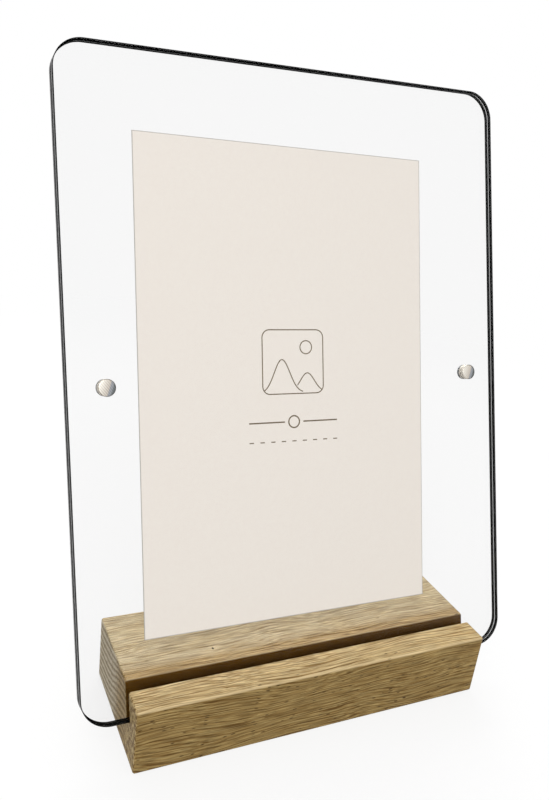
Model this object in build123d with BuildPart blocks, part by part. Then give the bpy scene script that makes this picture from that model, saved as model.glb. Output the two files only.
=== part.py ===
"""Free-standing photo frame: two clear acrylic plates lean back in a slot along an oak block.

Two pairs of disc magnets, let into the plates, hold them together, with a loose card between them.
Sizes are in millimetres. X runs along the block, Y from its front to its back and Z up. The origin is
the middle of the block's underside.
"""

import os
from math import cos, radians, sin

from build123d import *

os.makedirs("parts", exist_ok=True)

# Clear plates, both cut to one outline
plate_width = 152.0
plate_height = 197.0
plate_thickness = 2.5
plate_corner_radius = 9.0
plate_edge_break = 0.2  # polished bevel round both faces
plate_tilt = 20.0  # degrees that the plates lean back

# Card, laid between the plates by hand
card_width = 100.0
card_height = 150.0
card_thickness = 0.25
card_play = 0.05  # air between the card and each plate
card_offset = -5.0  # the card's middle along X, from the plates' middle
card_drop = 1.0  # the card's middle below the plates' middle
card_turn = -0.8  # degrees that the card lies askew, clockwise as seen from the front

# Disc magnets, one through each hole and flush with both of the plate's faces
magnet_diameter = 5.0
magnet_rim = 0.25  # bevel round both faces of a disc
magnet_play = 0.05  # radial air in the hole
magnet_inset = 11.5  # from the plate's side edge to the disc's axis
magnet_height = 99.0  # from the plate's bottom edge to the disc's axis

# Oak block, with a saw-cut slot from end to end
block_length = 124.0
block_depth = 46.5
block_height = 23.0
block_edge_radius = 0.8
slot_lip = 9.5  # wood in front of the slot, at the block's top
slot_depth = 10.5  # from the block's top to the slot's floor, along the tilt
slot_play = 0.1  # air between the slot's wall and the plate beside it
slot_mouth_radius = 0.4  # easing of the slot's two long top edges
saw_overrun = 5.0  # the saw runs past the block's ends and top by this much

# Sizes that follow from those above
plate_gap = card_thickness + 2 * card_play
slot_width = 2 * plate_thickness + plate_gap + 2 * slot_play
magnet_radius = magnet_diameter / 2
magnet_hole_radius = magnet_radius + magnet_play
magnet_across = plate_width / 2 - magnet_inset

# The plates' middle plane stands on the slot's floor: its X is the block's, its Y runs up the plates
# and its normal points to the front
lean = radians(plate_tilt)
slot_mouth_middle = slot_lip + slot_width / (2 * cos(lean)) - block_depth / 2
plates_plane = Plane(
    origin=(0, slot_mouth_middle - slot_depth * sin(lean), block_height - slot_depth * cos(lean)),
    x_dir=(1, 0, 0),
    z_dir=(0, -cos(lean), sin(lean)),
)
front_plate_plane = plates_plane.offset(plate_gap / 2)
rear_plate_plane = plates_plane.offset(-plate_gap / 2 - plate_thickness)


def save(piece, name):
    """Labels a finished piece and writes it as a STEP file of that name."""
    piece.part.label = name
    export_step(piece.part, f"parts/{name}.step")


def clear_plate(plane):
    """A plate with rounded corners, bevelled edges and two magnet holes, with its back face on the plane."""
    with BuildPart() as plate:
        with BuildSketch(plane):
            with Locations((0, plate_height / 2)):
                RectangleRounded(plate_width, plate_height, plate_corner_radius)
            with Locations((-magnet_across, magnet_height), (magnet_across, magnet_height)):
                Circle(magnet_hole_radius, mode=Mode.SUBTRACT)
        extrude(amount=plate_thickness)
        faces = plate.faces().filter_by(Axis((0, 0, 0), plane.z_dir))
        chamfer([edge for face in faces for edge in face.outer_wire().edges()], plate_edge_break)
    return plate


def disc_magnet(plane, across):
    """A magnet as thick as its plate, this far across from the plates' middle."""
    with BuildPart() as magnet:
        with BuildSketch(plane):
            with Locations((across, magnet_height)):
                Circle(magnet_radius)
        extrude(amount=plate_thickness)
        chamfer(magnet.edges().filter_by(GeomType.CIRCLE), magnet_rim)
    return magnet


# Oak block: planed and eased all round, then slotted
with BuildPart() as oak_base:
    with BuildSketch(Plane.XY):
        Rectangle(block_length, block_depth)
    extrude(amount=block_height)
    fillet(oak_base.edges(), block_edge_radius)
    with BuildSketch(plates_plane):
        Rectangle(
            block_length + 2 * saw_overrun,
            slot_depth + saw_overrun,
            align=(Align.CENTER, Align.MIN),
        )
    extrude(amount=slot_width / 2, both=True, mode=Mode.SUBTRACT)
    top_face_edges = oak_base.edges().filter_by(Axis.X).group_by(Axis.Z)[-1]
    slot_mouth_edges = top_face_edges.sort_by(Axis.Y)[1:3]
    fillet(slot_mouth_edges, slot_mouth_radius)
save(oak_base, "oak_base")

# Plates, each with its two magnets
save(clear_plate(front_plate_plane), "front_plate")
save(clear_plate(rear_plate_plane), "rear_plate")
save(disc_magnet(front_plate_plane, -magnet_across), "magnet_front_left")
save(disc_magnet(front_plate_plane, magnet_across), "magnet_front_right")
save(disc_magnet(rear_plate_plane, -magnet_across), "magnet_rear_left")
save(disc_magnet(rear_plate_plane, magnet_across), "magnet_rear_right")

# Card, a little off the plates' middle
with BuildPart() as photo_card:
    with BuildSketch(plates_plane):
        with Locations((card_offset, plate_height / 2 - card_drop)):
            Rectangle(card_width, card_height, rotation=card_turn)
    extrude(amount=card_thickness / 2, both=True)
save(photo_card, "photo_card")
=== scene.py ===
"""Looks of a free-standing photo frame: two clear acrylic plates lean in a slot along an oak block.

Two pairs of nickel disc magnets hold the plates together, with a printed card between them.
Sizes in the classes are in millimetres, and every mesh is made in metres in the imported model's frame:
X along the block, Y from its front to its back and Z up.
"""

import logging
import math
from dataclasses import dataclass, field
from enum import Enum

import bmesh
import bpy
from mathutils import Matrix, Vector


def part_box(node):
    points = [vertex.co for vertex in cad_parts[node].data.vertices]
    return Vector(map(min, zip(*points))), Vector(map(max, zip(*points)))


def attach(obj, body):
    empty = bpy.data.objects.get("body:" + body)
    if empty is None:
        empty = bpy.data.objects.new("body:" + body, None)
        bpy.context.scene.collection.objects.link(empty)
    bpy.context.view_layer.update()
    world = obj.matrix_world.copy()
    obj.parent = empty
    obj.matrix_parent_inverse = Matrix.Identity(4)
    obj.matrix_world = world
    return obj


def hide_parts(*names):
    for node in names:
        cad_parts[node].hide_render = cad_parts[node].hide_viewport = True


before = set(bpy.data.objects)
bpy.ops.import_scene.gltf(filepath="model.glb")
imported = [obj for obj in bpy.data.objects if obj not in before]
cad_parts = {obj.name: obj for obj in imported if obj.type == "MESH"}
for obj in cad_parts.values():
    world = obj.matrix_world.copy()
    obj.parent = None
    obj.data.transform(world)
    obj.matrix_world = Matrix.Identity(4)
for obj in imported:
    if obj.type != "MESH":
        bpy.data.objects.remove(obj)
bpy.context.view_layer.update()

log = logging.getLogger("photo_frame")

MM = 0.001  # metres in a millimetre
PHOTO_LONG_SIDE = 800  # pixels of the picture's height, which the lens is worked out for
SENSOR = 36.0  # mm of film along the picture's long side
WAVE_REPEAT = 0.314  # from line to line of a wave texture at scale 1

Tone = tuple[float, float, float]  # red, green and blue that a colour is multiplied by
Grain = tuple[float, float, float]  # a pattern's size in millimetres along, across and up the block
Span = tuple[float, float]  # where a change starts and where it is full


def linear(colour: str) -> tuple[float, float, float, float]:
    """Turns an sRGB hex colour into linear light.

    Args:
        colour: Six hex digits after a hash sign, such as "#c8b187".

    Returns:
        Red, green, blue and an alpha of 1.
    """
    parts = (int(colour[i : i + 2], 16) / 255 for i in (1, 3, 5))
    return (*(c / 12.92 if c <= 0.04045 else ((c + 0.055) / 1.055) ** 2.4 for c in parts), 1.0)


def add(
    tree: bpy.types.NodeTree, kind: str, inputs: dict[int | str, object] | None = None, **settings: object
) -> bpy.types.Node:
    """Adds a node with its settings, and sets or links its inputs.

    Args:
        tree: The node tree that the node goes into.
        kind: The node's type without "ShaderNode", such as "TexNoise".
        inputs: For an input's number or name, a plain value, a socket, or a node whose first enabled
            output is linked.
        **settings: The node's own properties, such as operation.

    Returns:
        The new node.
    """
    node = tree.nodes.new(f"ShaderNode{kind}")
    for name, value in settings.items():
        setattr(node, name, value)
    for key, value in (inputs or {}).items():
        named = (s for s in node.inputs if s.name == key and s.enabled)
        socket = node.inputs[key] if isinstance(key, int) else next(named)
        if isinstance(value, bpy.types.Node):
            value = next(s for s in value.outputs if s.enabled)
        if isinstance(value, bpy.types.NodeSocket):
            tree.links.new(value, socket)
        else:
            socket.default_value = value
    return node


def per_mm(size: Grain) -> tuple[float, ...]:
    """Works out how often a pattern repeats in a millimetre.

    Args:
        size: The pattern's size.

    Returns:
        The number of repeats along, across and up.
    """
    return tuple(1 / length for length in size)


def new_tree(name: str) -> tuple[bpy.types.Material, bpy.types.NodeTree]:
    """Makes an empty node material.

    Args:
        name: The material's name.

    Returns:
        The material and its node tree.
    """
    material = bpy.data.materials.new(name)
    material.use_nodes = True
    material.node_tree.nodes.clear()
    return material, material.node_tree


def new_object(name: str, mesh: bmesh.types.BMesh, materials: list[bpy.types.Material]) -> bpy.types.Object:
    """Turns a finished bmesh into an object of the scene, and frees it.

    Args:
        name: The object's name.
        mesh: Its shape, in metres in the model's frame.
        materials: Its material slots, in order.

    Returns:
        The new object.
    """
    data = bpy.data.meshes.new(name)
    bmesh.ops.recalc_face_normals(mesh, faces=mesh.faces)
    mesh.to_mesh(data)
    mesh.free()
    for material in materials:
        data.materials.append(material)
    made = bpy.data.objects.new(name, data)
    bpy.context.scene.collection.objects.link(made)
    return made


class Side(Enum):
    """Which of the two plates."""

    FRONT = "front"
    REAR = "rear"


class Hand(Enum):
    """Left or right of the card, as the sign of X."""

    LEFT = -1
    RIGHT = 1

    @property
    def word(self) -> str:
        """The hand's name as the nodes have it."""
        return self.name.lower()


@dataclass(frozen=True)
class PlatesPlane:
    """The plates' middle plane, which stands on the slot's floor and leans back, and what both share."""

    lean: float = 20.0  # degrees from upright
    gap: float = 0.35  # air between the two plates, where the card lies
    thickness: float = 2.5  # of each plate, and of the discs in it
    magnet_across: float = 64.5  # from the plates' middle to a disc's axis
    magnet_up: float = 99.0  # and from their bottom edge
    block_depth: float = 46.5
    block_height: float = 23.0
    slot_lip: float = 9.5  # wood in front of the slot, at the block's top
    slot_depth: float = 10.5  # along the tilt
    slot_air: float = 0.1  # between a plate and the slot's wall

    @property
    def foot(self) -> Vector:
        """Where the plane meets the slot's floor, in millimetres of the model's frame."""
        tilt = math.radians(self.lean)
        slot_width = 2 * self.thickness + self.gap + 2 * self.slot_air
        mouth_y = self.slot_lip + slot_width / (2 * math.cos(tilt)) - self.block_depth / 2
        down = Vector((0, math.sin(tilt), math.cos(tilt))) * self.slot_depth
        return Vector((0, mouth_y, self.block_height)) - down

    @property
    def matrix(self) -> Matrix:
        """Millimetres across, up and out of the plane, turned into metres in the model's frame."""
        tilt = math.radians(self.lean)
        across, up = Vector((1, 0, 0)), Vector((0, math.sin(tilt), math.cos(tilt)))
        out = across.cross(up)
        turn = Matrix((across * MM, up * MM, out * MM)).transposed()
        return Matrix.Translation(self.foot * MM) @ turn.to_4x4()

    def back_face(self, side: Side) -> float:
        """How far out of the plane the back face of a plate and its discs lies."""
        return self.gap / 2 if side is Side.FRONT else -self.gap / 2 - self.thickness


@dataclass(frozen=True)
class PlanedOak:
    """Solid oak, planed and oiled matt: ring-porous, so the eye sees dark pore lines along the fibres, broad
    pale figure where the rings lie flat in a face, close stripes where they stand, and grey end grain.

    All places and sizes are in millimetres. The patterns are finer in reality, and drawn as coarse as the
    picture can show. A pattern's contrast is the span of its noise, which is mostly between 0.3 and 0.7,
    from where it starts to where it is full.
    """

    # Planed faces
    light: str = "#d6c49b"
    streak: str = "#a78e63"
    figure: str = "#bfaf8f"  # pale figure on the wide part of the top
    highlighted_edge: str = "#e3cca0"  # painted highlight on the rounded edges
    highlight_rise: float = 1.6  # how fast the painted highlight comes in as an edge turns
    highlight_share: float = 0.6  # and how much of it there is at most
    lip_tone: Tone = (0.98, 0.94, 0.86)  # of the top in front of the slot
    wide_tone: Tone = (1.03, 1.05, 1.1)  # and of its wide part behind
    wide_y: Span = (-5.6, -3.6)  # where the wide part begins
    strip_tone: Tone = (0.87, 0.82, 0.76)  # of the wood along the slot, against the rest of the top
    strip_y: Span = (-0.5, -4.8)  # where that strip begins, towards the slot
    side_shade: Tone = (0.635, 0.555, 0.375)  # painted shade of the upright faces, against the top
    top_normal: Span = (0.1, 0.7)  # how far a face has to point upwards to be the top
    end_normal: Span = (0.6, 0.85)  # and along the block to be a sawn end
    # Matt oil
    ior: float = 1.45
    gloss: float = 0.15  # specular level
    roughness: Span = (0.5, 0.65)  # of the light wood and of the streaks
    relief_mm: float = 0.12  # depth of the open pores
    # Growth rings
    ring_mm: float = 2.3  # a year's growth
    early_share: float = 0.55  # of a ring, over which its early wood gives way to late wood
    early_dark: float = 0.12  # how far early wood goes from light to streak
    crest_y: float = -8.0  # where the rings' arch has its crest
    back_fall: float = 0.26  # how the rings fall from there to the back
    lip_fall: float = 0.05  # and how they curve down into the lip, per mm
    # Fibres and what runs along them
    sway: Grain = (45.45, 20.0, 20.0)
    sway_by: float = 7.0  # how far, across and up
    fibre: Grain = (16.67, 0.4, 0.4)
    fibre_contrast: Span = (0.34, 0.64)
    broad: Grain = (20.0, 5.0, 5.0)  # patches of figure
    broad_contrast: Span = (0.36, 0.62)
    broad_share: Span = (0.2, 0.6)  # of the figure's tone, between its patches and in them
    grit: Grain = (6.25, 0.37, 0.37)  # short flecks
    grit_contrast: Span = (0.36, 0.64)
    grit_tone: Span = (0.78, 1.22)  # of a dark and a light fleck, against their wood
    line_mm: float = 1.05  # from one line of pores to the next
    line_tone: Tone = (0.42, 0.33, 0.2)  # of a line of pores, against its wood
    line_crest: Span = (-0.3, 0.8)  # of a sine wave, where a line starts and where it is full
    line_depth: float = 0.6  # against an open pore's
    wide_fade: float = 0.3  # how much fainter the lines are on the wide part of the top
    bend: Grain = (33.3, 2.5, 2.5)  # of the lines
    bend_lines: float = 3.0  # how many lines' spacing the bends reach
    fade: Grain = (18.2, 0.714, 0.714)  # of the lines, here and there
    fade_contrast: Span = (0.35, 0.65)
    faintest: float = 0.2  # what a line fades to
    # Open pores and a pin knot
    pore: str = "#4a3517"
    pore_cell: Grain = (3.33, 0.77, 0.77)
    pore_reach: Span = (0.28, 0.16)  # from a cell's middle, in shares of its size
    side_pores: float = 0.7  # share of the cells that stay closed on the upright faces
    top_pores: float = 0.97  # and on the top
    knot: tuple[float, float, float] = (-31.7, -1.4, 23.0)
    knot_size: Grain = (0.71, 1.11, 2.0)
    knot_reach: Span = (0.6, 0.35)  # from its middle, in shares of its size
    # Sawn ends
    end_pale: str = "#c6baa2"
    end_dark: str = "#7e6e50"
    end_tone: Tone = (0.68, 0.56, 0.36)  # of an end's front half, against its back
    end_y: Span = (5.0, -4.0)  # where that half begins
    ray: Grain = (10.0, 1.43, 0.625)  # rays and pores
    ray_break: float = 6.0  # how strongly the rays break the rings' wave
    ray_contrast: Span = (1.8, 4.2)  # of the broken wave
    dash: str = "#c2ab7c"  # steep pale dashes in the lip's end
    dash_gap: str = "#634820"
    dash_size: Grain = (10.0, 1.61, 0.476)
    dash_contrast: Span = (0.57, 0.45)  # of the gaps between them
    dash_slope: float = -62.0  # degrees
    dash_share: float = 0.9  # how strongly they cover the rays at the lip
    dash_y: Span = (-9.0, -14.0)  # where they begin, towards the front
    # The slot: painted shade on its walls, darker the deeper it gets and lighter towards its ends
    mouth_shade: Tone = (0.225, 0.13, 0.008)  # painted shade of the walls at its mouth, against the planed faces
    deep_shade: Tone = (0.03, 0.014, 0.002)  # and deep in it
    slot_y: float = -12.5  # the middle of the leaning slot
    slot_reach: float = 7.5  # and how far its walls get from there
    slot_floor: float = 10.0  # height that all of it lies above
    slot_rough: float = 0.35  # how much rougher the saw leaves it
    mouth_z: Span = (22.95, 22.5)  # from the top's wood to the mouth's painted shade
    deep_z: Span = (22.6, 18.2)  # from the mouth's painted shade to the deep one
    open_x: Span = (52.0, 61.0)  # towards the slot's ends, where light comes in
    end_depth: float = 0.4  # how dark the deep painted shade still is there

    def swayed(self, t: bpy.types.NodeTree, mm: bpy.types.Node) -> bpy.types.Node:
        """Sways the fibres slowly, which bends rings, lines and streaks alike.

        Args:
            t: The material's tree.
            mm: Coordinates in millimetres.

        Returns:
            The node that gives the swayed coordinates.
        """
        noise_at = add(t, "VectorMath", {0: mm, 1: per_mm(self.sway)}, operation="MULTIPLY")
        noise = add(t, "TexNoise", {"Vector": noise_at, "Scale": 1.0, "Detail": 1.0, "Roughness": 0.5})
        offset = add(t, "VectorMath", {0: noise.outputs["Color"], 1: (0.5, 0.5, 0.5)}, operation="SUBTRACT")
        moved = add(t, "VectorMath", {0: offset, 1: (0.0, self.sway_by, self.sway_by)}, operation="MULTIPLY")
        return add(t, "VectorMath", {0: mm, 1: moved}, operation="ADD")

    def rings(self, t: bpy.types.NodeTree, swayed: bpy.types.Node) -> bpy.types.Node:
        """Counts growth rings upwards through the block.

        Args:
            t: The material's tree.
            swayed: Swayed coordinates in millimetres.

        Returns:
            The node that gives the number of rings at a place.
        """
        place = add(t, "SeparateXYZ", {0: swayed})
        behind = add(t, "Math", {0: place.outputs["Y"], 1: self.crest_y}, operation="SUBTRACT")
        back = add(t, "Math", {0: behind, 1: 0.0}, operation="MAXIMUM")
        lip = add(t, "Math", {0: behind, 1: 0.0}, operation="MINIMUM")
        arch = add(t, "Math", {0: lip, 1: lip}, operation="MULTIPLY")
        curved = add(t, "Math", {0: arch, 1: self.lip_fall, 2: place.outputs["Z"]}, operation="MULTIPLY_ADD")
        layer = add(t, "Math", {0: back, 1: self.back_fall, 2: curved}, operation="MULTIPLY_ADD")
        return add(t, "Math", {0: layer, 1: self.ring_mm}, operation="DIVIDE")

    def streaks(
        self, t: bpy.types.NodeTree, swayed: bpy.types.Node, rings: bpy.types.Node
    ) -> bpy.types.Node:
        """Draws the fibres as streaks along the block, a little darker in the early wood of each ring.

        Args:
            t: The material's tree.
            swayed: Swayed coordinates in millimetres.
            rings: The ring count.

        Returns:
            The node that gives 0 in the light wood and 1 in the dark.
        """
        phase = add(t, "Math", {0: rings}, operation="FRACT")
        early = add(
            t,
            "MapRange",
            {"Value": phase, 2: self.early_share, 3: 1.0, 4: 0.0},
            interpolation_type="SMOOTHERSTEP",
        )
        noise_at = add(t, "VectorMath", {0: swayed, 1: per_mm(self.fibre)}, operation="MULTIPLY")
        noise = add(t, "TexNoise", {"Vector": noise_at, "Scale": 1.0, "Detail": 3.0, "Roughness": 0.7})
        start, full = self.fibre_contrast
        streaks = add(t, "MapRange", {"Value": noise.outputs[0], 1: start, 2: full})
        return add(
            t, "Math", {0: early, 1: self.early_dark, 2: streaks}, operation="MULTIPLY_ADD", use_clamp=True
        )

    def pore_lines(self, t: bpy.types.NodeTree, swayed: bpy.types.Node) -> bpy.types.Node:
        """Draws the thin lines of pores: evenly spaced, then bent, and faded here and there.

        Args:
            t: The material's tree.
            swayed: Swayed coordinates in millimetres.

        Returns:
            The node that gives 1 on a line and 0 between two.
        """
        over = add(t, "VectorMath", {0: swayed, 1: (0.0, 1.0, 1.0)}, operation="DOT_PRODUCT")
        count = add(t, "Math", {0: over.outputs["Value"], 1: self.line_mm}, operation="DIVIDE")
        bend_at = add(t, "VectorMath", {0: swayed, 1: per_mm(self.bend)}, operation="MULTIPLY")
        bend = add(t, "TexNoise", {"Vector": bend_at, "Scale": 1.0, "Detail": 2.0, "Roughness": 0.6})
        bent = add(t, "Math", {0: bend.outputs[0], 1: self.bend_lines, 2: count}, operation="MULTIPLY_ADD")
        turn = add(t, "Math", {0: bent, 1: 2 * math.pi}, operation="MULTIPLY")
        wave = add(t, "Math", {0: turn}, operation="SINE")
        start, full = self.line_crest
        crest = add(t, "MapRange", {"Value": wave, 1: start, 2: full})
        fade_at = add(t, "VectorMath", {0: swayed, 1: per_mm(self.fade)}, operation="MULTIPLY")
        fade = add(t, "TexNoise", {"Vector": fade_at, "Scale": 1.0, "Detail": 1.0, "Roughness": 0.5})
        start, full = self.fade_contrast
        faded = add(t, "MapRange", {"Value": fade.outputs[0], 1: start, 2: full, 3: self.faintest})
        return add(t, "Math", {0: crest, 1: faded}, operation="MULTIPLY")

    def planed_faces(
        self,
        t: bpy.types.NodeTree,
        swayed: bpy.types.Node,
        y: bpy.types.NodeSocket,
        top: bpy.types.Node,
        wood: bpy.types.Node,
        lines: bpy.types.Node,
    ) -> bpy.types.Node:
        """Tones the planed faces and lays the lines over them.

        The wide part of the top has pale figure and fainter lines, because the rings lie nearly flat in it,
        and a golden strip along the slot. Upright faces cut across every ring, and painted shade makes them
        darker.

        Args:
            t: The material's tree.
            swayed: Swayed coordinates in millimetres.
            y: The place from front to back, in millimetres.
            top: 1 on the top.
            wood: The streaked wood's colour.
            lines: 1 on a line of pores.

        Returns:
            The node that gives the planed faces' colour.
        """
        broad_at = add(t, "VectorMath", {0: swayed, 1: per_mm(self.broad)}, operation="MULTIPLY")
        broad = add(t, "TexNoise", {"Vector": broad_at, "Scale": 1.0, "Detail": 3.0, "Roughness": 0.55})
        start, full = self.broad_contrast
        least, most = self.broad_share
        patches = add(t, "MapRange", {"Value": broad.outputs[0], 1: start, 2: full, 3: least, 4: most})
        start, full = self.wide_y
        behind = add(t, "MapRange", {"Value": y, 1: start, 2: full}, interpolation_type="SMOOTHSTEP")
        wide = add(t, "Math", {0: behind, 1: top}, operation="MULTIPLY")
        flat = add(t, "Math", {0: wide, 1: patches}, operation="MULTIPLY")
        figured = add(t, "Mix", {"Factor": flat, "A": wood, "B": linear(self.figure)}, data_type="RGBA")
        pale = add(
            t,
            "Mix",
            {"Factor": wide, "A": (*self.lip_tone, 1.0), "B": (*self.wide_tone, 1.0)},
            data_type="RGBA",
        )
        start, full = self.strip_y
        beside = add(t, "MapRange", {"Value": y, 1: start, 2: full}, interpolation_type="SMOOTHSTEP")
        past_slot = add(t, "Math", {0: y, 1: self.slot_y}, operation="GREATER_THAN")
        strip = add(t, "Math", {0: beside, 1: past_slot}, operation="MULTIPLY")
        golden = add(
            t,
            "Mix",
            {"Factor": strip, "A": pale, "B": (*self.strip_tone, 1.0)},
            data_type="RGBA",
            blend_type="MULTIPLY",
        )
        # Painted shade: the upright faces are darker than the top
        tone = add(t, "Mix", {"Factor": top, "A": (*self.side_shade, 1.0), "B": golden}, data_type="RGBA")
        toned = add(
            t, "Mix", {"Factor": 1.0, "A": figured, "B": tone}, data_type="RGBA", blend_type="MULTIPLY"
        )
        faint = add(t, "Math", {0: wide, 1: -self.wide_fade, 2: 1.0}, operation="MULTIPLY_ADD")
        fainter = add(t, "Math", {0: lines, 1: faint}, operation="MULTIPLY")
        lined = add(
            t,
            "Mix",
            {"Factor": fainter, "A": toned, "B": (*self.line_tone, 1.0)},
            data_type="RGBA",
            blend_type="MULTIPLY",
        )
        # Grit: short flecks between the lines
        grit_at = add(t, "VectorMath", {0: swayed, 1: per_mm(self.grit)}, operation="MULTIPLY")
        grit = add(t, "TexNoise", {"Vector": grit_at, "Scale": 1.0, "Detail": 1.0, "Roughness": 0.5})
        start, full = self.grit_contrast
        dark, light = self.grit_tone
        flecks = add(t, "MapRange", {"Value": grit.outputs[0], 1: start, 2: full, 3: dark, 4: light})
        return add(
            t, "Mix", {"Factor": 1.0, "A": lined, "B": flecks}, data_type="RGBA", blend_type="MULTIPLY"
        )

    def end_grain(
        self, t: bpy.types.NodeTree, swayed: bpy.types.Node, rings: bpy.types.Node, y: bpy.types.NodeSocket
    ) -> bpy.types.Node:
        """Colours the sawn ends: grey-brown rings, broken by rays and pores, and browner at the lip.

        Args:
            t: The material's tree.
            swayed: Swayed coordinates in millimetres.
            rings: The ring count.
            y: The place from front to back, in millimetres.

        Returns:
            The node that gives the ends' colour.
        """
        turns = add(t, "Math", {0: rings, 1: 2 * math.pi}, operation="MULTIPLY")
        wave = add(t, "Math", {0: turns}, operation="SINE")
        ray_at = add(t, "VectorMath", {0: swayed, 1: per_mm(self.ray)}, operation="MULTIPLY")
        ray = add(t, "TexNoise", {"Vector": ray_at, "Scale": 1.0, "Detail": 3.0, "Roughness": 0.7})
        broken = add(t, "Math", {0: ray.outputs[0], 1: self.ray_break, 2: wave}, operation="MULTIPLY_ADD")
        start, full = self.ray_contrast
        share = add(t, "MapRange", {"Value": broken, 1: start, 2: full})
        rays = add(
            t,
            "Mix",
            {"Factor": share, "A": linear(self.end_pale), "B": linear(self.end_dark)},
            data_type="RGBA",
        )
        start, full = self.end_y
        in_front = add(t, "MapRange", {"Value": y, 1: start, 2: full}, interpolation_type="SMOOTHSTEP")
        browner = add(
            t,
            "Mix",
            {"Factor": in_front, "A": rays, "B": (*self.end_tone, 1.0)},
            data_type="RGBA",
            blend_type="MULTIPLY",
        )
        # In the lip, pale dashes fall steeply to the front
        steep = add(t, "Mapping", {"Vector": swayed, "Rotation": (math.radians(self.dash_slope), 0, 0)})
        dash_at = add(t, "VectorMath", {0: steep, 1: per_mm(self.dash_size)}, operation="MULTIPLY")
        dash = add(t, "TexNoise", {"Vector": dash_at, "Scale": 1.0, "Detail": 2.0, "Roughness": 0.7})
        start, full = self.dash_contrast
        gaps = add(t, "MapRange", {"Value": dash.outputs[0], 1: start, 2: full})
        brown = add(
            t, "Mix", {"Factor": gaps, "A": linear(self.dash), "B": linear(self.dash_gap)}, data_type="RGBA"
        )
        start, full = self.dash_y
        at_lip = add(
            t,
            "MapRange",
            {"Value": y, 1: start, 2: full, 4: self.dash_share},
            interpolation_type="SMOOTHSTEP",
        )
        return add(t, "Mix", {"Factor": at_lip, "A": browner, "B": brown}, data_type="RGBA")

    def slot_mask(
        self, t: bpy.types.NodeTree, at: bpy.types.Node, ends: bpy.types.Node
    ) -> tuple[bpy.types.Node, bpy.types.Node]:
        """Finds the slot's walls and floor, and how deep in it a place lies, for its painted shade.

        Args:
            t: The material's tree.
            at: Separated coordinates in millimetres.
            ends: 1 on the block's ends.

        Returns:
            1 in the slot, and the share from its mouth to its darkest painted shade.
        """
        off = add(t, "Math", {0: at.outputs["Y"], 1: self.slot_y}, operation="SUBTRACT")
        across = add(t, "Math", {0: off}, operation="ABSOLUTE")
        near = add(t, "Math", {0: across, 1: self.slot_reach}, operation="LESS_THAN")
        high = add(t, "Math", {0: at.outputs["Z"], 1: self.slot_floor}, operation="GREATER_THAN")
        both = add(t, "Math", {0: near, 1: high}, operation="MULTIPLY")
        start, full = self.mouth_z
        below = add(t, "MapRange", {"Value": at.outputs["Z"], 1: start, 2: full})
        inside = add(t, "Math", {0: both, 1: below}, operation="MULTIPLY")
        not_end = add(t, "Math", {0: 1.0, 1: ends}, operation="SUBTRACT")
        mask = add(t, "Math", {0: inside, 1: not_end}, operation="MULTIPLY")
        start, full = self.deep_z
        deep = add(t, "MapRange", {"Value": at.outputs["Z"], 1: start, 2: full})
        along = add(t, "Math", {0: at.outputs["X"]}, operation="ABSOLUTE")
        start, full = self.open_x
        closed = add(
            t,
            "MapRange",
            {"Value": along, 1: start, 2: full, 3: 1.0, 4: self.end_depth},
            interpolation_type="SMOOTHSTEP",
        )
        depth = add(t, "Math", {0: deep, 1: closed}, operation="MULTIPLY")
        return mask, depth

    def holes(
        self, t: bpy.types.NodeTree, mm: bpy.types.Node, swayed: bpy.types.Node, top: bpy.types.Node
    ) -> bpy.types.Node:
        """Places the open pores, short dark dashes in a few of the cells, and the pin knot.

        Args:
            t: The material's tree.
            mm: Coordinates in millimetres.
            swayed: The same, swayed.
            top: 1 on the top.

        Returns:
            The node that gives 1 in a pore or the knot.
        """
        cell_at = add(t, "VectorMath", {0: swayed, 1: per_mm(self.pore_cell)}, operation="MULTIPLY")
        cells = add(t, "TexVoronoi", {"Vector": cell_at, "Scale": 1.0})
        start, full = self.pore_reach
        near = add(t, "MapRange", {"Value": cells.outputs["Distance"], 1: start, 2: full})
        chance = add(t, "SeparateXYZ", {0: cells.outputs["Color"]}).outputs["X"]
        closed = add(t, "MapRange", {"Value": top, 3: self.side_pores, 4: self.top_pores})
        chosen = add(t, "Math", {0: chance, 1: closed}, operation="GREATER_THAN")
        pores = add(t, "Math", {0: near, 1: chosen}, operation="MULTIPLY")
        from_knot = add(t, "VectorMath", {0: mm, 1: self.knot}, operation="SUBTRACT")
        knot_at = add(t, "VectorMath", {0: from_knot, 1: per_mm(self.knot_size)}, operation="MULTIPLY")
        far = add(t, "VectorMath", {0: knot_at}, operation="LENGTH").outputs["Value"]
        start, full = self.knot_reach
        knot = add(t, "MapRange", {"Value": far, 1: start, 2: full})
        return add(t, "Math", {0: pores, 1: knot}, operation="MAXIMUM")

    def material(self) -> bpy.types.Material:
        """Builds the solid wood from its rings, fibres and pores, in millimetres of the model's frame."""
        material, t = new_tree("planed_oak")
        where = add(t, "TexCoord")
        mm = add(t, "VectorMath", {0: where.outputs["Object"], "Scale": 1 / MM}, operation="SCALE")
        at = add(t, "SeparateXYZ", {0: mm})
        swayed = self.swayed(t, mm)
        rings = self.rings(t, swayed)
        streaks = self.streaks(t, swayed, rings)
        lines = self.pore_lines(t, swayed)
        wood = add(
            t,
            "Mix",
            {"Factor": streaks, "A": linear(self.light), "B": linear(self.streak)},
            data_type="RGBA",
        )
        # Which face: the ends, the top and the rest
        normal = add(t, "SeparateXYZ", {0: where.outputs["Normal"]})
        end = add(t, "Math", {0: normal.outputs["X"]}, operation="ABSOLUTE")
        start, full = self.end_normal
        ends = add(t, "MapRange", {"Value": end, 1: start, 2: full})
        start, full = self.top_normal
        top = add(t, "MapRange", {"Value": normal.outputs["Z"], 1: start, 2: full})
        planed = self.planed_faces(t, swayed, at.outputs["Y"], top, wood, lines)
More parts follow.
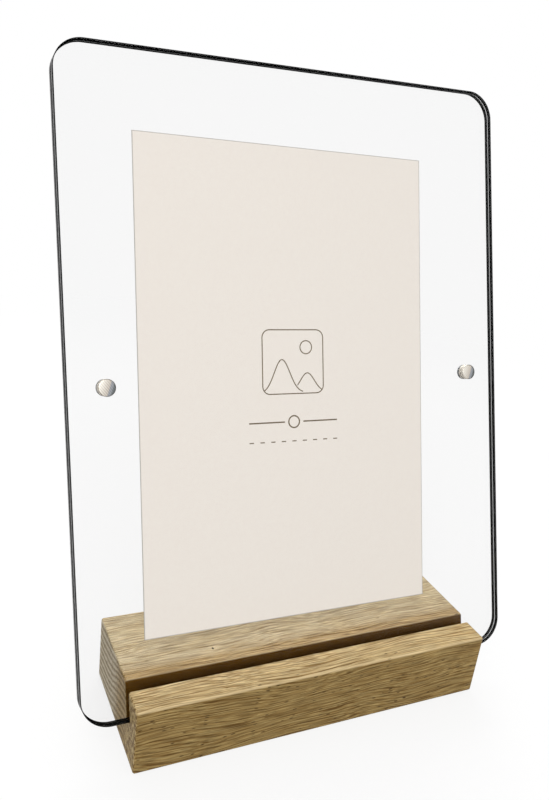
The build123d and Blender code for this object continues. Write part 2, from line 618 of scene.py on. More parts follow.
        # The lip's front edge, with a painted highlight where its rounding faces up and forward
        ahead = add(t, "Math", {0: normal.outputs["Y"], 1: -self.highlight_rise}, operation="MULTIPLY")
        rounded = add(t, "Math", {0: ahead, 1: normal.outputs["Z"]}, operation="MULTIPLY", use_clamp=True)
        highlight_amount = add(t, "Math", {0: rounded, 1: self.highlight_share}, operation="MULTIPLY")
        highlighted_edge = add(t, "Mix", {"Factor": highlight_amount, "A": planed, "B": linear(self.highlighted_edge)}, data_type="RGBA")
        # The slot, with painted shade that is darker the deeper it gets
        in_slot, depth = self.slot_mask(t, at, ends)
        slot_shade = add(
            t,
            "Mix",
            {"Factor": depth, "A": (*self.mouth_shade, 1.0), "B": (*self.deep_shade, 1.0)},
            data_type="RGBA",
        )
        slotted = add(
            t, "Mix", {"Factor": in_slot, "A": highlighted_edge, "B": slot_shade}, data_type="RGBA", blend_type="MULTIPLY"
        )
        end_colour = self.end_grain(t, swayed, rings, at.outputs["Y"])
        ended = add(t, "Mix", {"Factor": ends, "A": slotted, "B": end_colour}, data_type="RGBA")
        holes = self.holes(t, mm, swayed, top)
        colour = add(t, "Mix", {"Factor": holes, "A": ended, "B": linear(self.pore)}, data_type="RGBA")

        smooth, open_grained = self.roughness
        oiled = add(t, "MapRange", {"Value": streaks, 3: smooth, 4: open_grained})
        rough = add(
            t,
            "Math",
            {0: in_slot, 1: self.slot_rough, 2: oiled},
            operation="MULTIPLY_ADD",
            use_clamp=True,
        )
        hollow = add(t, "Math", {0: lines, 1: -self.line_depth, 2: 1.0}, operation="MULTIPLY_ADD")
        height = add(t, "Math", {0: hollow, 1: holes}, operation="SUBTRACT")
        bump = add(t, "Bump", {"Height": height, "Strength": 0.5, "Distance": self.relief_mm * MM})
        shader = add(
            t,
            "BsdfPrincipled",
            {
                "Base Color": colour,
                "Roughness": rough,
                "Normal": bump,
                "IOR": self.ior,
                "Specular IOR Level": self.gloss,
            },
        )
        add(t, "OutputMaterial", {"Surface": shader})
        return material


@dataclass(frozen=True)
class CastAcrylic:
    """Clear cast acrylic sheet: water-clear, mirror-smooth faces that veil what is behind them a little.

    They bend it too, so the far edges look narrower than the sheet is thick. Wiping leaves a haze that is
    too faint to see.
    """

    tint: str = "#fbfbfb"
    sheen: str = "#2e2e2e"
    ior: float = 1.49
    wipe_mm: float = 25.0  # from wipe to wipe of the cloth
    wipe_contrast: Span = (0.4, 0.8)
    haze: float = 0.012  # roughness at most

    def material(self) -> bpy.types.Material:
        """Builds the glass-like faces. Light for what is behind them passes straight through."""
        material, t = new_tree("cast_acrylic")
        where = add(t, "TexCoord")
        wipes = add(t, "TexNoise", {"Vector": where.outputs["Object"], "Scale": 1 / (self.wipe_mm * MM)})
        start, full = self.wipe_contrast
        rough = add(t, "MapRange", {"Value": wipes.outputs[0], 1: start, 2: full, 4: self.haze})
        shader = add(
            t,
            "BsdfPrincipled",
            {
                "Base Color": linear(self.tint),
                "Specular Tint": linear(self.sheen),
                "Roughness": rough,
                "IOR": self.ior,
                "Transmission Weight": 1.0,
            },
        )
        clear = add(t, "BsdfTransparent", {"Color": linear(self.tint)})
        path = add(t, "LightPath")
        passes = add(
            t,
            "Math",
            {0: path.outputs["Is Shadow Ray"], 1: path.outputs["Is Diffuse Ray"]},
            operation="MAXIMUM",
        )
        both = add(t, "MixShader", {0: passes, 1: shader, 2: clear})
        add(t, "OutputMaterial", {"Surface": both})
        return material


@dataclass(frozen=True)
class PolishedEdge:
    """The acrylic's laser-cut and polished edge, with painted shade: the sheet's inside makes a real edge
    look dark, and here that dark is painted in as a nearly black glossy line, with faint ripples across the
    thickness from the cut."""

    # Painted shade: near-black colours for an edge that is clear acrylic
    dark: str = "#050606"
    pale: str = "#131415"
    ripple_mm: float = 1.5  # from ripple to ripple
    ripple_contrast: Span = (0.3, 0.7)
    relief_mm: float = 0.05  # and their height
    roughness: Span = (0.08, 0.2)
    ior: float = 1.49
    gloss: float = 0.02  # specular level: the edge mirrors hardly anything

    def material(self) -> bpy.types.Material:
        """Builds the rippled edge, painted near-black."""
        material, t = new_tree("acrylic_edge_painted_dark")
        where = add(t, "TexCoord")
        scale = 1 / (self.ripple_mm * MM)
        ripple = add(t, "TexNoise", {"Vector": where.outputs["Object"], "Scale": scale, "Detail": 2.0})
        colour = add(
            t,
            "Mix",
            {"Factor": ripple.outputs[0], "A": linear(self.dark), "B": linear(self.pale)},
            data_type="RGBA",
        )
        start, full = self.ripple_contrast
        smooth, dull = self.roughness
        rough = add(t, "MapRange", {"Value": ripple.outputs[0], 1: start, 2: full, 3: smooth, 4: dull})
        height = self.relief_mm * MM
        bump = add(t, "Bump", {"Height": ripple.outputs[0], "Strength": 0.2, "Distance": height})
        shader = add(
            t,
            "BsdfPrincipled",
            {
                "Base Color": colour,
                "Roughness": rough,
                "Normal": bump,
                "IOR": self.ior,
                "Specular IOR Level": self.gloss,
            },
        )
        add(t, "OutputMaterial", {"Surface": shader})
        return material


@dataclass(frozen=True)
class BrushedNickel:
    """Nickel plate over a sintered magnet, its face brushed in one direction: a warm pale metal with fine
    diagonal lines, whose colour has painted reflection in slanting bands, from cream to dark grey. The
    tumbled side is as pale, with painted shade at the rear, in the gap between the plates."""

    # The face's colour is painted reflection, from cream to dark grey
    cream: str = "#faf5eb"
    bands: tuple[tuple[float, float, str], ...] = (  # painted reflection: where a band starts and is full, and its colour
        (-0.1, 0.35, "#d6cdc2"),
        (0.36, 0.42, "#a6a9ae"),
        (0.53, 0.62, "#7b8082"),
    )
    line_tone: Tone = (0.7, 0.69, 0.67)  # of a brush line, against its band
    side: str = "#dad3c7"
    side_cloud: str = "#d0c9bd"
    # painted shade at the disc's rear, in the gap between the plates
    rear_shade: str = "#5f6365"
    bands_way: tuple[float, float, float] = (0.93, 0.0, -0.37)  # across the bands, in shares of its box
    line_mm: float = 0.6  # from line to line: finer in reality, and drawn as coarse as the picture can show
    line_contrast: Span = (0.2, 0.8)
    slant: float = 40.0  # degrees of the lines from upright
    waver: float = 0.8  # how far a line strays from straight
    cloud_mm: float = 1.2
    cloud_contrast: Span = (0.35, 0.65)
    relief_mm: float = 0.01
    brushed_roughness: Span = (0.24, 0.34)
    tumbled_roughness: Span = (0.45, 0.5)
    rear_shade_out: Span = (-0.9, -1.3)  # where the painted shade starts and is full, in mm behind the plates' middle plane

    def face(self) -> bpy.types.Material:
        """Builds the brushed face, with painted reflection in its colour."""
        material, t = new_tree("brushed_nickel")
        where = add(t, "TexCoord")
        slope = add(
            t, "VectorMath", {0: where.outputs["Generated"], 1: self.bands_way}, operation="DOT_PRODUCT"
        )
        painted_reflection = linear(self.cream)
        for start, full, tone in self.bands:
            share = add(t, "MapRange", {"Value": slope.outputs["Value"], 1: start, 2: full})
            painted_reflection = add(t, "Mix", {"Factor": share, "A": painted_reflection, "B": linear(tone)}, data_type="RGBA")
        slant = (0, math.radians(self.slant), 0)
        turned = add(t, "Mapping", {"Vector": where.outputs["Object"], "Rotation": slant})
        scale = WAVE_REPEAT / (self.line_mm * MM)
        lines = add(t, "TexWave", {"Vector": turned, "Scale": scale, "Distortion": self.waver})
        start, full = self.line_contrast
        brushed = add(t, "MapRange", {"Value": lines.outputs["Fac"], 1: start, 2: full})
        colour = add(
            t,
            "Mix",
            {"Factor": brushed, "A": painted_reflection, "B": (*self.line_tone, 1.0)},
            data_type="RGBA",
            blend_type="MULTIPLY",
        )
        smooth, dull = self.brushed_roughness
        rough = add(t, "MapRange", {"Value": brushed, 3: smooth, 4: dull})
        bump = add(t, "Bump", {"Height": brushed, "Strength": 0.3, "Distance": self.relief_mm * MM})
        shader = add(
            t, "BsdfPrincipled", {"Base Color": colour, "Metallic": 1.0, "Roughness": rough, "Normal": bump}
        )
        add(t, "OutputMaterial", {"Surface": shader})
        return material

    def flank(self, plane: PlatesPlane) -> bpy.types.Material:
        """Builds the tumbled side, with painted shade at its rear, which also shows through the acrylic
        round the disc's hole.

        Args:
            plane: The plates' middle plane, behind which the rear disc lies.

        Returns:
            The side's finish.
        """
        material, t = new_tree("tumbled_nickel")
        where = add(t, "TexCoord")
        scale = 1 / (self.cloud_mm * MM)
        cloud = add(t, "TexNoise", {"Vector": where.outputs["Object"], "Scale": scale, "Detail": 3.0})
        start, full = self.cloud_contrast
        share = add(t, "MapRange", {"Value": cloud.outputs[0], 1: start, 2: full})
        clean = add(
            t,
            "Mix",
            {"Factor": share, "A": linear(self.side), "B": linear(self.side_cloud)},
            data_type="RGBA",
        )
        row = plane.matrix.inverted()[2]
        out = add(t, "VectorMath", {0: where.outputs["Object"], 1: tuple(row[:3])}, operation="DOT_PRODUCT")
        behind = add(t, "Math", {0: out.outputs["Value"], 1: row[3]}, operation="ADD")
        # Painted shade towards the disc's rear
        start, full = self.rear_shade_out
        rear_shaded = add(t, "MapRange", {"Value": behind, 1: start, 2: full})
        colour = add(t, "Mix", {"Factor": rear_shaded, "A": clean, "B": linear(self.rear_shade)}, data_type="RGBA")
        smooth, dull = self.tumbled_roughness
        rough = add(t, "MapRange", {"Value": share, 3: smooth, 4: dull})
        bump = add(t, "Bump", {"Height": share, "Strength": 0.1, "Distance": self.relief_mm * MM})
        shader = add(
            t, "BsdfPrincipled", {"Base Color": colour, "Metallic": 1.0, "Roughness": rough, "Normal": bump}
        )
        add(t, "OutputMaterial", {"Surface": shader})
        return material


@dataclass(frozen=True)
class CreamCard:
    """Uncoated cream card: dead matt, with the faint clouds of its fibres and painted shade along its cut
    edge.
    """

    cream: str = "#f6efe6"
    cloud: str = "#f4ece3"
    # painted shade along the card's border
    cut: str = "#b9b5ae"
    fibre_mm: float = 1.2  # finer in reality, and drawn as coarse as the picture can show
    fibre_contrast: Span = (0.3, 0.7)
    border_shade_mm: float = 0.3  # how far the painted shade runs in from the edge
    relief_mm: float = 0.02  # of the fibres
    roughness: float = 0.9
    gloss: float = 0.2  # specular level

    def painted_border_shade(self, t: bpy.types.NodeTree, mm: bpy.types.Node, card: "PhotoCard") -> bpy.types.Node:
        """Finds the card's border, for its painted shade.

        Args:
            t: The material's tree.
            mm: Coordinates in millimetres.
            card: The card, for its place and size.

        Returns:
            The node that gives 1 at the card's border and 0 inside.
        """
        to_card = card.matrix.inverted()
        shares = []
        for row, half in ((0, card.width / 2), (1, card.height / 2)):
            way = tuple(to_card[row][k] * MM for k in range(3))
            along = add(t, "VectorMath", {0: mm, 1: way}, operation="DOT_PRODUCT").outputs["Value"]
            offset = add(t, "Math", {0: along, 1: to_card[row][3]}, operation="ADD")
            far = add(t, "Math", {0: offset}, operation="ABSOLUTE")
            inside = half - self.border_shade_mm
            shares.append(add(t, "MapRange", {"Value": far, 1: inside, 2: half - self.border_shade_mm / 3}))
        return add(t, "Math", {0: shares[0], 1: shares[1]}, operation="MAXIMUM")

    def material(self, card: "PhotoCard") -> bpy.types.Material:
        """Builds the matt card.

        Args:
            card: The card that it is for.

        Returns:
            The card's finish.
        """
        material, t = new_tree("cream_card")
        where = add(t, "TexCoord")
        mm = add(t, "VectorMath", {0: where.outputs["Object"], "Scale": 1 / MM}, operation="SCALE")
        fibres = add(
            t, "TexNoise", {"Vector": mm, "Scale": 1 / self.fibre_mm, "Detail": 4.0, "Roughness": 0.6}
        )
        start, full = self.fibre_contrast
        clouds = add(t, "MapRange", {"Value": fibres.outputs[0], 1: start, 2: full})
        plain = add(
            t,
            "Mix",
            {"Factor": clouds, "A": linear(self.cream), "B": linear(self.cloud)},
            data_type="RGBA",
        )
        edge = self.painted_border_shade(t, mm, card)
        # Painted shade along the card's border
        colour = add(t, "Mix", {"Factor": edge, "A": plain, "B": linear(self.cut)}, data_type="RGBA")
        height = self.relief_mm * MM
        bump = add(t, "Bump", {"Height": fibres.outputs[0], "Strength": 0.15, "Distance": height})
        shader = add(
            t,
            "BsdfPrincipled",
            {
                "Base Color": colour,
                "Roughness": self.roughness,
                "Normal": bump,
                "Specular IOR Level": self.gloss,
            },
        )
        add(t, "OutputMaterial", {"Surface": shader})
        return material


@dataclass(frozen=True)
class PrintersInk:
    """Offset ink on uncoated card: matt grey-brown, a little uneven where it sinks into the fibres."""

    ink: str = "#6a5c46"
    thin: str = "#80735e"
    grain_mm: float = 0.4  # of the card's fibres that show through it
    roughness: float = 0.85
    gloss: float = 0.2  # specular level

    def material(self) -> bpy.types.Material:
        """Builds the matt ink."""
        material, t = new_tree("printers_ink")
        where = add(t, "TexCoord")
        scale = 1 / (self.grain_mm * MM)
        grain = add(t, "TexNoise", {"Vector": where.outputs["Object"], "Scale": scale, "Detail": 2.0})
        colour = add(
            t,
            "Mix",
            {"Factor": grain.outputs[0], "A": linear(self.ink), "B": linear(self.thin)},
            data_type="RGBA",
        )
        shader = add(
            t,
            "BsdfPrincipled",
            {"Base Color": colour, "Roughness": self.roughness, "Specular IOR Level": self.gloss},
        )
        add(t, "OutputMaterial", {"Surface": shader})
        return material


@dataclass(frozen=True)
class OakBlock:
    """The slotted block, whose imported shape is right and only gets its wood."""

    oak: PlanedOak = field(default_factory=PlanedOak)

    def build(self) -> bpy.types.Object:
        """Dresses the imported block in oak."""
        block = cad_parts["oak_base"]
        wood = self.oak.material()
        for slot in block.material_slots:
            slot.material = wood
        return block


@dataclass(frozen=True)
class DiscMagnet:
    """One disc in its hole: a slightly crowned face, a rounded rim and a straight side."""

    side: Side
    hand: Hand
    plane: PlatesPlane
    diameter: float = 5.0
    crown: float = 0.12  # how much the middle of a face stands above its rim
    rim: float = 0.2  # radius of the rounding between face and side
    turns: int = 64  # points round the disc
    rings: int = 10  # rings of a face, from its middle to its rim
    rim_steps: int = 5

    def profile(self) -> list[tuple[float, float]]:
        """Radius and height of the half section's points, from the back face's middle to the front's."""
        flat = self.diameter / 2 - self.rim
        face = []
        for i in range(1, self.rings + 1):
            r = flat * i / self.rings
            face.append((r, self.plane.thickness - self.crown * (r / flat) ** 2))
        edge_height = face[-1][1]
        rim = []
        for i in range(1, self.rim_steps + 1):
            turn = math.radians(90 * i / self.rim_steps)
            rim.append((flat + self.rim * math.sin(turn), edge_height - self.rim * (1 - math.cos(turn))))
        front = face + rim
        back = [(r, self.plane.thickness - height) for r, height in front]
        return back + front[::-1]

    def build(self, face_finish: bpy.types.Material, side_finish: bpy.types.Material) -> bpy.types.Object:
        """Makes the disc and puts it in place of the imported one.

        Args:
            face_finish: The finish of its two faces.
            side_finish: The finish of its side.

        Returns:
            The disc.
        """
        mesh = bmesh.new()
        across = self.plane.magnet_across * self.hand.value
        middle = Vector((across, self.plane.magnet_up, self.plane.back_face(self.side)))
        turns = [2 * math.pi * i / self.turns for i in range(self.turns)]
        loops = []
        for radius, height in self.profile():
            ring = [Vector((radius * math.cos(a), radius * math.sin(a), height)) for a in turns]
            loops.append([mesh.verts.new(middle + point) for point in ring])
        poles = [mesh.verts.new(middle), mesh.verts.new(middle + Vector((0, 0, self.plane.thickness)))]
        middle_step = len(loops) // 2 - 1
        for step, (low, high) in enumerate(zip(loops, loops[1:])):
            for i in range(self.turns):
                j = (i + 1) % self.turns
                face = mesh.faces.new((low[i], low[j], high[j], high[i]))
                face.material_index = 1 if step == middle_step else 0
        for pole, loop in zip(poles, (loops[0], loops[-1])):
            for i in range(self.turns):
                mesh.faces.new((pole, loop[i], loop[(i + 1) % self.turns]))
        for face in mesh.faces:
            face.smooth = True
        mesh.transform(self.plane.matrix)
        node = f"magnet_{self.side.value}_{self.hand.word}"
        disc = new_object(f"disc_{node}", mesh, [face_finish, side_finish])
        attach(disc, self.side.value)
        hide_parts(node)
        return disc


@dataclass(frozen=True)
class ClearPlate:
    """One acrylic plate: rounded corners, softened edges and a hole for each of its two magnets."""

    side: Side
    plane: PlatesPlane
    width: float = 152.0
    height: float = 197.0
    corner: float = 9.0
    edge_break: float = 0.2
    softness_share: float = 0.3  # of the edge's break: where its bevel has one more step, to round it
    edge_shade_reach: float = 0.1  # how far the edge's painted dark runs in over the face in the gap
    hole: float = 2.55  # radius, with 0.05 of air round the disc
    corner_steps: int = 24
    hole_steps: int = 48

    def outline(self, inset: float) -> list[tuple[float, float]]:
        """The plate's rounded rectangle.

        Args:
            inset: How far inside the plate's outline it runs.

        Returns:
            Points across and up from the middle of the plate's bottom edge.
        """
        radius = self.corner - inset
        reach, low, high = self.width / 2 - self.corner, self.corner, self.height - self.corner
        points = []
        for number, (x, y) in enumerate(((reach, high), (-reach, high), (-reach, low), (reach, low))):
            for i in range(self.corner_steps + 1):
                turn = math.radians(90 * (number + i / self.corner_steps))
                points.append((x + radius * math.cos(turn), y + radius * math.sin(turn)))
        return points

    def hole_outline(self, hand: Hand) -> list[tuple[float, float]]:
        """The circle of one magnet's hole.

        Args:
            hand: Which of the two holes.

        Returns:
            Points across and up from the middle of the plate's bottom edge.
        """
        turns = [2 * math.pi * i / self.hole_steps for i in range(self.hole_steps)]
        x, y = self.plane.magnet_across * hand.value, self.plane.magnet_up
        return [(x + self.hole * math.cos(a), y + self.hole * math.sin(a)) for a in turns]

    def build(
        self, acrylic: bpy.types.Material, edge: bpy.types.Material, wall: bpy.types.Material
    ) -> bpy.types.Object:
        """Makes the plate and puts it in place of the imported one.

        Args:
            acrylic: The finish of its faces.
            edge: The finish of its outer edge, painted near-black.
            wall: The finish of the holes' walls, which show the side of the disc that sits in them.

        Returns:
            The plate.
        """
        mesh = bmesh.new()
        start = self.plane.back_face(self.side)
        end = start + self.plane.thickness
        soft = self.edge_break * self.softness_share
        levels = [
            (self.edge_break, start),
            (soft, start + soft),
            (0.0, start + self.edge_break),
            (0.0, end - self.edge_break),
            (soft, end - soft),
            (self.edge_break, end),
        ]
        if self.side is Side.FRONT:
            levels.insert(0, (self.edge_break + self.edge_shade_reach, start))
        else:
            levels.append((self.edge_break + self.edge_shade_reach, end))
        loops = [[mesh.verts.new((x, y, out)) for x, y in self.outline(inset)] for inset, out in levels]
        count = len(loops[0])
        for low, high in zip(loops, loops[1:]):
            for i in range(count):
                j = (i + 1) % count
                face = mesh.faces.new((low[i], low[j], high[j], high[i]))
                face.smooth = True
                face.material_index = 1
        rims = {}
        for out in (start, end):
            rims[out] = [[mesh.verts.new((x, y, out)) for x, y in self.hole_outline(hand)] for hand in Hand]
        for low, high in zip(rims[start], rims[end]):
            for i in range(self.hole_steps):
                j = (i + 1) % self.hole_steps
                face = mesh.faces.new((low[i], low[j], high[j], high[i]))
                face.smooth = True
                face.material_index = 2
        for outer, holes in ((loops[0], rims[start]), (loops[-1], rims[end])):
            edges = []
            for ring in (outer, *holes):
                for a, b in zip(ring, ring[1:] + ring[:1]):
                    edges.append(mesh.edges.get((a, b)))
            for rim_edge in edges:
                rim_edge.smooth = False
            filled = bmesh.ops.triangle_fill(mesh, use_beauty=True, use_dissolve=False, edges=edges)["geom"]
            for face in (f for f in filled if isinstance(f, bmesh.types.BMFace)):
                face.smooth = False
                face.material_index = 0
        mesh.transform(self.plane.matrix)
        node = f"{self.side.value}_plate"
        plate = new_object(f"acrylic_{node}", mesh, [acrylic, edge, wall])
        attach(plate, self.side.value)
        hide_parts(node)
        return plate


@dataclass(frozen=True)
class Stroke:
    """A drawn line: its points across and up, its width, and whether its end joins its start."""

    points: list[tuple[float, float]]
    width: float
    closed: bool = False


@dataclass(frozen=True)
class LineMotif:
    """A generic line drawing for the card: a window with two hills and a sun, over a rule with a ring and a
    row of dashes. Places are from the card's middle."""

    across: float = 0.9
    window_up: float = 7.2
    half_width: float = 10.8
    half_height: float = 10.2
    corner: float = 2.5
    sun: tuple[float, float, float] = (4.6, 4.6, 2.1)  # from the window's middle, and its radius
    tall_hill: tuple[float, float, float] = (-4.0, 10.6, 3.9)  # place, height and spread
    tall_end: float = 3.4
    low_hill: tuple[float, float, float] = (5.0, 6.2, 3.6)
    low_start: float = 1.4  # where it comes out from behind the tall one
    hill_air: float = 0.6  # between a hill's end and the window's side
    rule_up: float = -12.0
    rule_reach: float = 15.7
    ring_radius: float = 1.9
    ring_air: float = 1.4  # between the ring and the rule on each side
    dash_up: float = -18.2
    dash_length: float = 1.5
    dashes: int = 9
    thin: float = 0.34
    thick: float = 0.44
    circle_steps: int = 48
    corner_steps: int = 8
    hill_steps: int = 48

    def circle(self, x: float, y: float, radius: float, width: float) -> Stroke:
        """A ring-shaped stroke.

        Args:
            x: Its middle across.
            y: Its middle up.
            radius: Its radius.
            width: Its line's width.

        Returns:
            The closed stroke.
        """
        turns = [2 * math.pi * i / self.circle_steps for i in range(self.circle_steps)]
        return Stroke([(x + radius * math.cos(a), y + radius * math.sin(a)) for a in turns], width, True)

    def hill(self, hill: tuple[float, float, float], low: float, high: float) -> Stroke:
        """One hill, drawn as a bell curve on the window's sill.

        Args:
            hill: Its place across, its height and its spread.
            low: Where its line starts, across from the window's middle.
            high: Where it ends.

        Returns:
            The open stroke.
        """
        place, height, spread = hill
        ground = self.window_up - self.half_height + self.thin
        line = []
        for i in range(self.hill_steps + 1):
            x = low + (high - low) * i / self.hill_steps
            line.append((self.across + x, ground + height * math.exp(-(((x - place) / spread) ** 2))))
        return Stroke(line, self.thin)

    def window(self) -> list[Stroke]:
        """The window with its hills and sun."""
        outline = []
        for number, (x, y) in enumerate(((1, 1), (-1, 1), (-1, -1), (1, -1))):
            for i in range(self.corner_steps + 1):
                turn = math.radians(90 * (number + i / self.corner_steps))
                along = self.across + x * (self.half_width - self.corner) + self.corner * math.cos(turn)
                up = self.window_up + y * (self.half_height - self.corner) + self.corner * math.sin(turn)
                outline.append((along, up))
        sun_x, sun_y, sun_radius = self.sun
        side = self.half_width - self.hill_air
        return [
            Stroke(outline, self.thin, True),
            self.circle(self.across + sun_x, self.window_up + sun_y, sun_radius, self.thin),
            self.hill(self.tall_hill, -side, self.tall_end),
            self.hill(self.low_hill, self.low_start, side),
        ]

    def strokes(self) -> list[Stroke]:
        """All of the drawing's lines."""
        made = [*self.window(), self.circle(self.across, self.rule_up, self.ring_radius, self.thick)]
        for sign in (-1, 1):
            start, end = self.ring_radius + self.ring_air, self.rule_reach
            line = [(self.across + sign * x, self.rule_up) for x in (start, (start + end) / 2, end)]
            made.append(Stroke(line, self.thick))
        pitch = (2 * self.rule_reach - self.dash_length) / (self.dashes - 1)
        for i in range(self.dashes):
            x = self.across - self.rule_reach + i * pitch
            made.append(Stroke([(x, self.dash_up), (x + self.dash_length, self.dash_up)], self.thin))
        return made


@dataclass(frozen=True)
class PhotoCard:
    """The card between the plates, a little askew, with a line drawing printed on it."""

    plane: PlatesPlane
    width: float = 100.0
    height: float = 150.0
    thickness: float = 0.25
    offset: float = -5.0  # its middle, from the plates'
    turn: float = -0.8  # degrees
    middle_up: float = 97.5  # its middle, from the plates' bottom edge
    ink_height: float = 0.015  # the ink film's height over the card
    ink_sink: float = 0.005  # and how far it reaches into it
    motif: LineMotif = field(default_factory=LineMotif)

    @property
    def matrix(self) -> Matrix:
        """Millimetres across, up and out of the card's middle, turned into metres in the model's frame."""
        turn = Matrix.Rotation(math.radians(self.turn), 4, "Z")
        return self.plane.matrix @ Matrix.Translation((self.offset, self.middle_up, 0)) @ turn

    def ribbon(self, mesh: bmesh.types.BMesh, stroke: Stroke) -> None:
        """Adds a drawn line as a thin raised ribbon.

        Args:
            mesh: The drawing so far.
            stroke: The line, across and up from the card's middle.
        """
        points, closed = stroke.points, stroke.closed
        count = len(points)
        base, top = self.thickness / 2 - self.ink_sink, self.thickness / 2 + self.ink_height
        rails = []
        for i, point in enumerate(points):
            before = points[i - 1] if closed or i else point
            after = points[(i + 1) % count] if closed or i < count - 1 else point
            way = Vector((after[0] - before[0], after[1] - before[1])).normalized()
            off = Vector((-way.y, way.x)) * stroke.width / 2
            left, right = Vector(point) + off, Vector(point) - off
            section = ((*left, base), (*left, top), (*right, top), (*right, base))
            rails.append([mesh.verts.new(corner) for corner in section])
        pairs = zip(rails, rails[1:] + rails[:1]) if closed else zip(rails, rails[1:])
        for here, there in pairs:
            for k in range(4):
                mesh.faces.new((here[k], there[k], there[(k + 1) % 4], here[(k + 1) % 4]))
        if not closed:
            mesh.faces.new(rails[0])
            mesh.faces.new(rails[-1][::-1])

    def build(self, card: bpy.types.Material, ink: bpy.types.Material) -> bpy.types.Object:
        """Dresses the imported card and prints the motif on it.

        Args:
            card: The card's finish.
            ink: The motif's finish.

        Returns:
            The motif.
        """
        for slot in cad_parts["photo_card"].material_slots:
            slot.material = card
        mesh = bmesh.new()
        for stroke in self.motif.strokes():
            self.ribbon(mesh, stroke)
        mesh.transform(self.matrix)
        motif = new_object("card_motif", mesh, [ink])
        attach(motif, "card")
        return motif


@dataclass(frozen=True)
class Lamp:
    """A soft square lamp that faces the frame. Its lengths are in metres."""

    name: str
    toward: tuple[float, float, float]  # direction from the frame to the lamp
    size: float  # length of its side
    level: float  # how bright it alone makes a white face that is turned to it
    distance: float = 1.2
    aim_up: float = 0.08  # how far over the floor it points

    def hang(self) -> None:
        """Hangs the lamp."""
        toward = Vector(self.toward).normalized()
        data = bpy.data.lights.new(self.name, "AREA")
        data.shape = "SQUARE"
        data.size = self.size
        # Light at the frame is energy / (pi distance²), and a white face sends back 1 / pi of it
        data.energy = self.level * math.pi**2 * self.distance**2
        lamp = bpy.data.objects.new(self.name, data)
        lamp.location = Vector((0, 0, self.aim_up)) + toward * self.distance
        lamp.rotation_euler = toward.to_track_quat("Z", "Y").to_euler()
        bpy.context.scene.collection.objects.link(lamp)


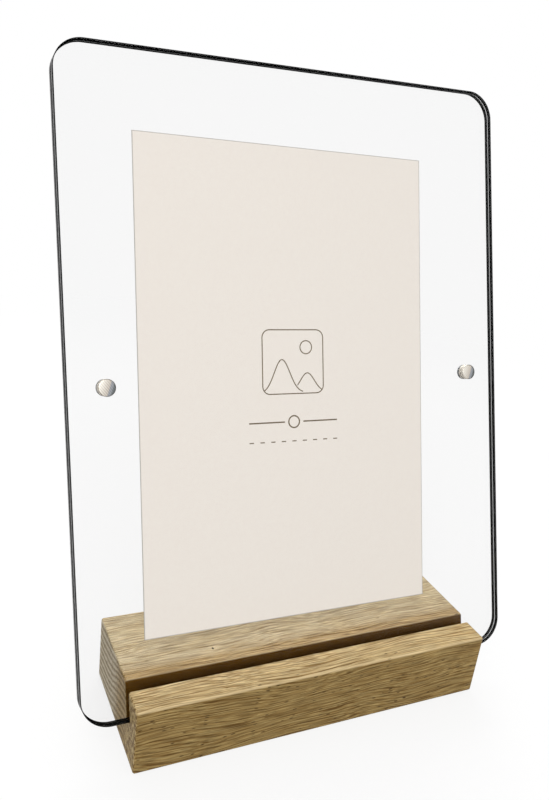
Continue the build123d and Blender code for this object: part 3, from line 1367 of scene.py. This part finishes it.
@dataclass(frozen=True)
class Studio:
    """Camera, lamps, pale floor and white surroundings."""

    focal_px: float = 800.6  # focal length in pixels of the picture
    place: tuple[float, float, float] = (-117.94, -194.77, 192.52)  # of the camera
    yaw: float = 26.864  # degrees turned from +Y towards +X
    pitch: float = -21.211
    roll: float = 7.197
    clip: tuple[float, float] = (0.01, 50.0)  # metres
    lamps: tuple[Lamp, ...] = (
        Lamp("key_lamp", (-0.35, -0.65, 0.67), size=0.7, level=0.45),
        Lamp("back_lamp", (0.2, 0.75, 0.63), size=0.8, level=0.5),
    )
    ambient: float = 0.75
    floor_tone: str = "#ececec"
    bounce_tone: str = "#a8a8a8"  # of the light that the floor sends back to the frame
    floor_reach: float = 6.0  # metres from the middle to an edge
    floor_glow: float = 0.8  # share of its white that no shadow takes
    floor_fade: Span = (0.22, 0.5)  # metres from the frame over which the shadow ends

    def camera(self) -> bpy.types.Object:
        """Puts up the camera at the photograph's viewing angle."""
        yaw, pitch, roll = (math.radians(a) for a in (self.yaw, self.pitch, self.roll))
        ahead = Vector((math.sin(yaw) * math.cos(pitch), math.cos(yaw) * math.cos(pitch), math.sin(pitch)))
        level = Vector((ahead.y, -ahead.x, 0)).normalized()
        right = level * math.cos(roll) + level.cross(ahead) * math.sin(roll)
        above = right.cross(ahead)
        turn = Matrix((right, above, -ahead)).transposed().to_4x4()
        data = bpy.data.cameras.new("camera")
        data.sensor_width = SENSOR
        data.lens = self.focal_px * SENSOR / PHOTO_LONG_SIDE
        data.clip_start, data.clip_end = self.clip
        camera = bpy.data.objects.new("camera", data)
        camera.matrix_world = Matrix.Translation(Vector(self.place) * MM) @ turn
        bpy.context.scene.collection.objects.link(camera)
        bpy.context.scene.camera = camera
        return camera

    def shown(self, t: bpy.types.NodeTree) -> bpy.types.Node:
        """Finds the rays that show what they meet: the camera's, and those of gloss and of clear acrylic.

        Args:
            t: The floor's or the world's tree.

        Returns:
            The node that gives 1 for such a ray.
        """
        path = add(t, "LightPath")
        camera, gloss = path.outputs["Is Camera Ray"], path.outputs["Is Glossy Ray"]
        seen = add(t, "Math", {0: camera, 1: gloss}, operation="MAXIMUM")
        return add(t, "Math", {0: seen, 1: path.outputs["Is Transmission Ray"]}, operation="MAXIMUM")

    def surroundings(self) -> None:
        """Lights the frame evenly from all round, and shows white behind it, in gloss and acrylic too."""
        world = bpy.data.worlds.new("studio")
        world.use_nodes = True
        t = world.node_tree
        t.nodes.clear()
        strength = add(t, "MapRange", {"Value": self.shown(t), 3: self.ambient, 4: 1.0})
        back = add(t, "Background", {"Color": (1, 1, 1, 1), "Strength": strength})
        add(t, "OutputWorld", {"Surface": back})
        bpy.context.scene.world = world

    def floor(self) -> None:
        """Lays the pale floor, which keeps the frame's shadow and turns plain white further off."""
        mesh = bmesh.new()
        bmesh.ops.create_grid(mesh, x_segments=1, y_segments=1, size=self.floor_reach)
        material, t = new_tree("pale_floor")
        where = add(t, "TexCoord")
        far = add(t, "VectorMath", {0: where.outputs["Object"]}, operation="LENGTH").outputs["Value"]
        start, full = self.floor_fade
        fade = add(t, "MapRange", {"Value": far, 1: start, 2: full}, interpolation_type="SMOOTHERSTEP")
        paint = add(t, "BsdfDiffuse", {"Color": linear(self.floor_tone)})
        white = add(t, "Emission", {"Color": (1, 1, 1, 1), "Strength": 1.0})
        whiter = add(t, "MapRange", {"Value": fade, 3: self.floor_glow, 4: 1.0})
        near = add(t, "MixShader", {0: whiter, 1: paint, 2: white})
        plain = add(t, "BsdfDiffuse", {"Color": linear(self.bounce_tone)})
        both = add(t, "MixShader", {0: self.shown(t), 1: plain, 2: near})
        add(t, "OutputMaterial", {"Surface": both})
        new_object("floor", mesh, [material])

    def build(self) -> None:
        """Sets up everything round the frame."""
        self.camera()
        self.surroundings()
        self.floor()
        for lamp in self.lamps:
            lamp.hang()
        bpy.context.scene.view_settings.view_transform = "Standard"


def report_fit(piece: bpy.types.Object, node: str) -> None:
    """Logs how far a piece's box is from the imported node's.

    Args:
        piece: The piece that stands for the node.
        node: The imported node's name.
    """
    low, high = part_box(node)
    off = 0.0
    for k in range(3):
        places = [vertex.co[k] for vertex in piece.data.vertices]
        off = max(off, abs(min(places) - low[k]), abs(max(places) - high[k]))
    log.info("%s stands for %s, boxes %.3f mm apart at most", piece.name, node, off / MM)


def main() -> None:
    """Builds the studio and the frame's sub-assemblies in order."""
    logging.basicConfig(level=logging.INFO, format="%(message)s")
    plane = PlatesPlane()
    Studio().build()
    log.info("dressed %s", OakBlock().build().name)
    acrylic, edge = CastAcrylic().material(), PolishedEdge().material()
    brushed, tumbled = BrushedNickel().face(), BrushedNickel().flank(plane)
    for side in Side:
        report_fit(ClearPlate(side, plane).build(acrylic, edge, tumbled), f"{side.value}_plate")
        for hand in Hand:
            disc = DiscMagnet(side, hand, plane).build(brushed, tumbled)
            report_fit(disc, f"magnet_{side.value}_{hand.word}")
    card = PhotoCard(plane)
    motif = card.build(CreamCard().material(card), PrintersInk().material())
    log.info("printed %s", motif.name)


if __name__ == "__main__":
    main()
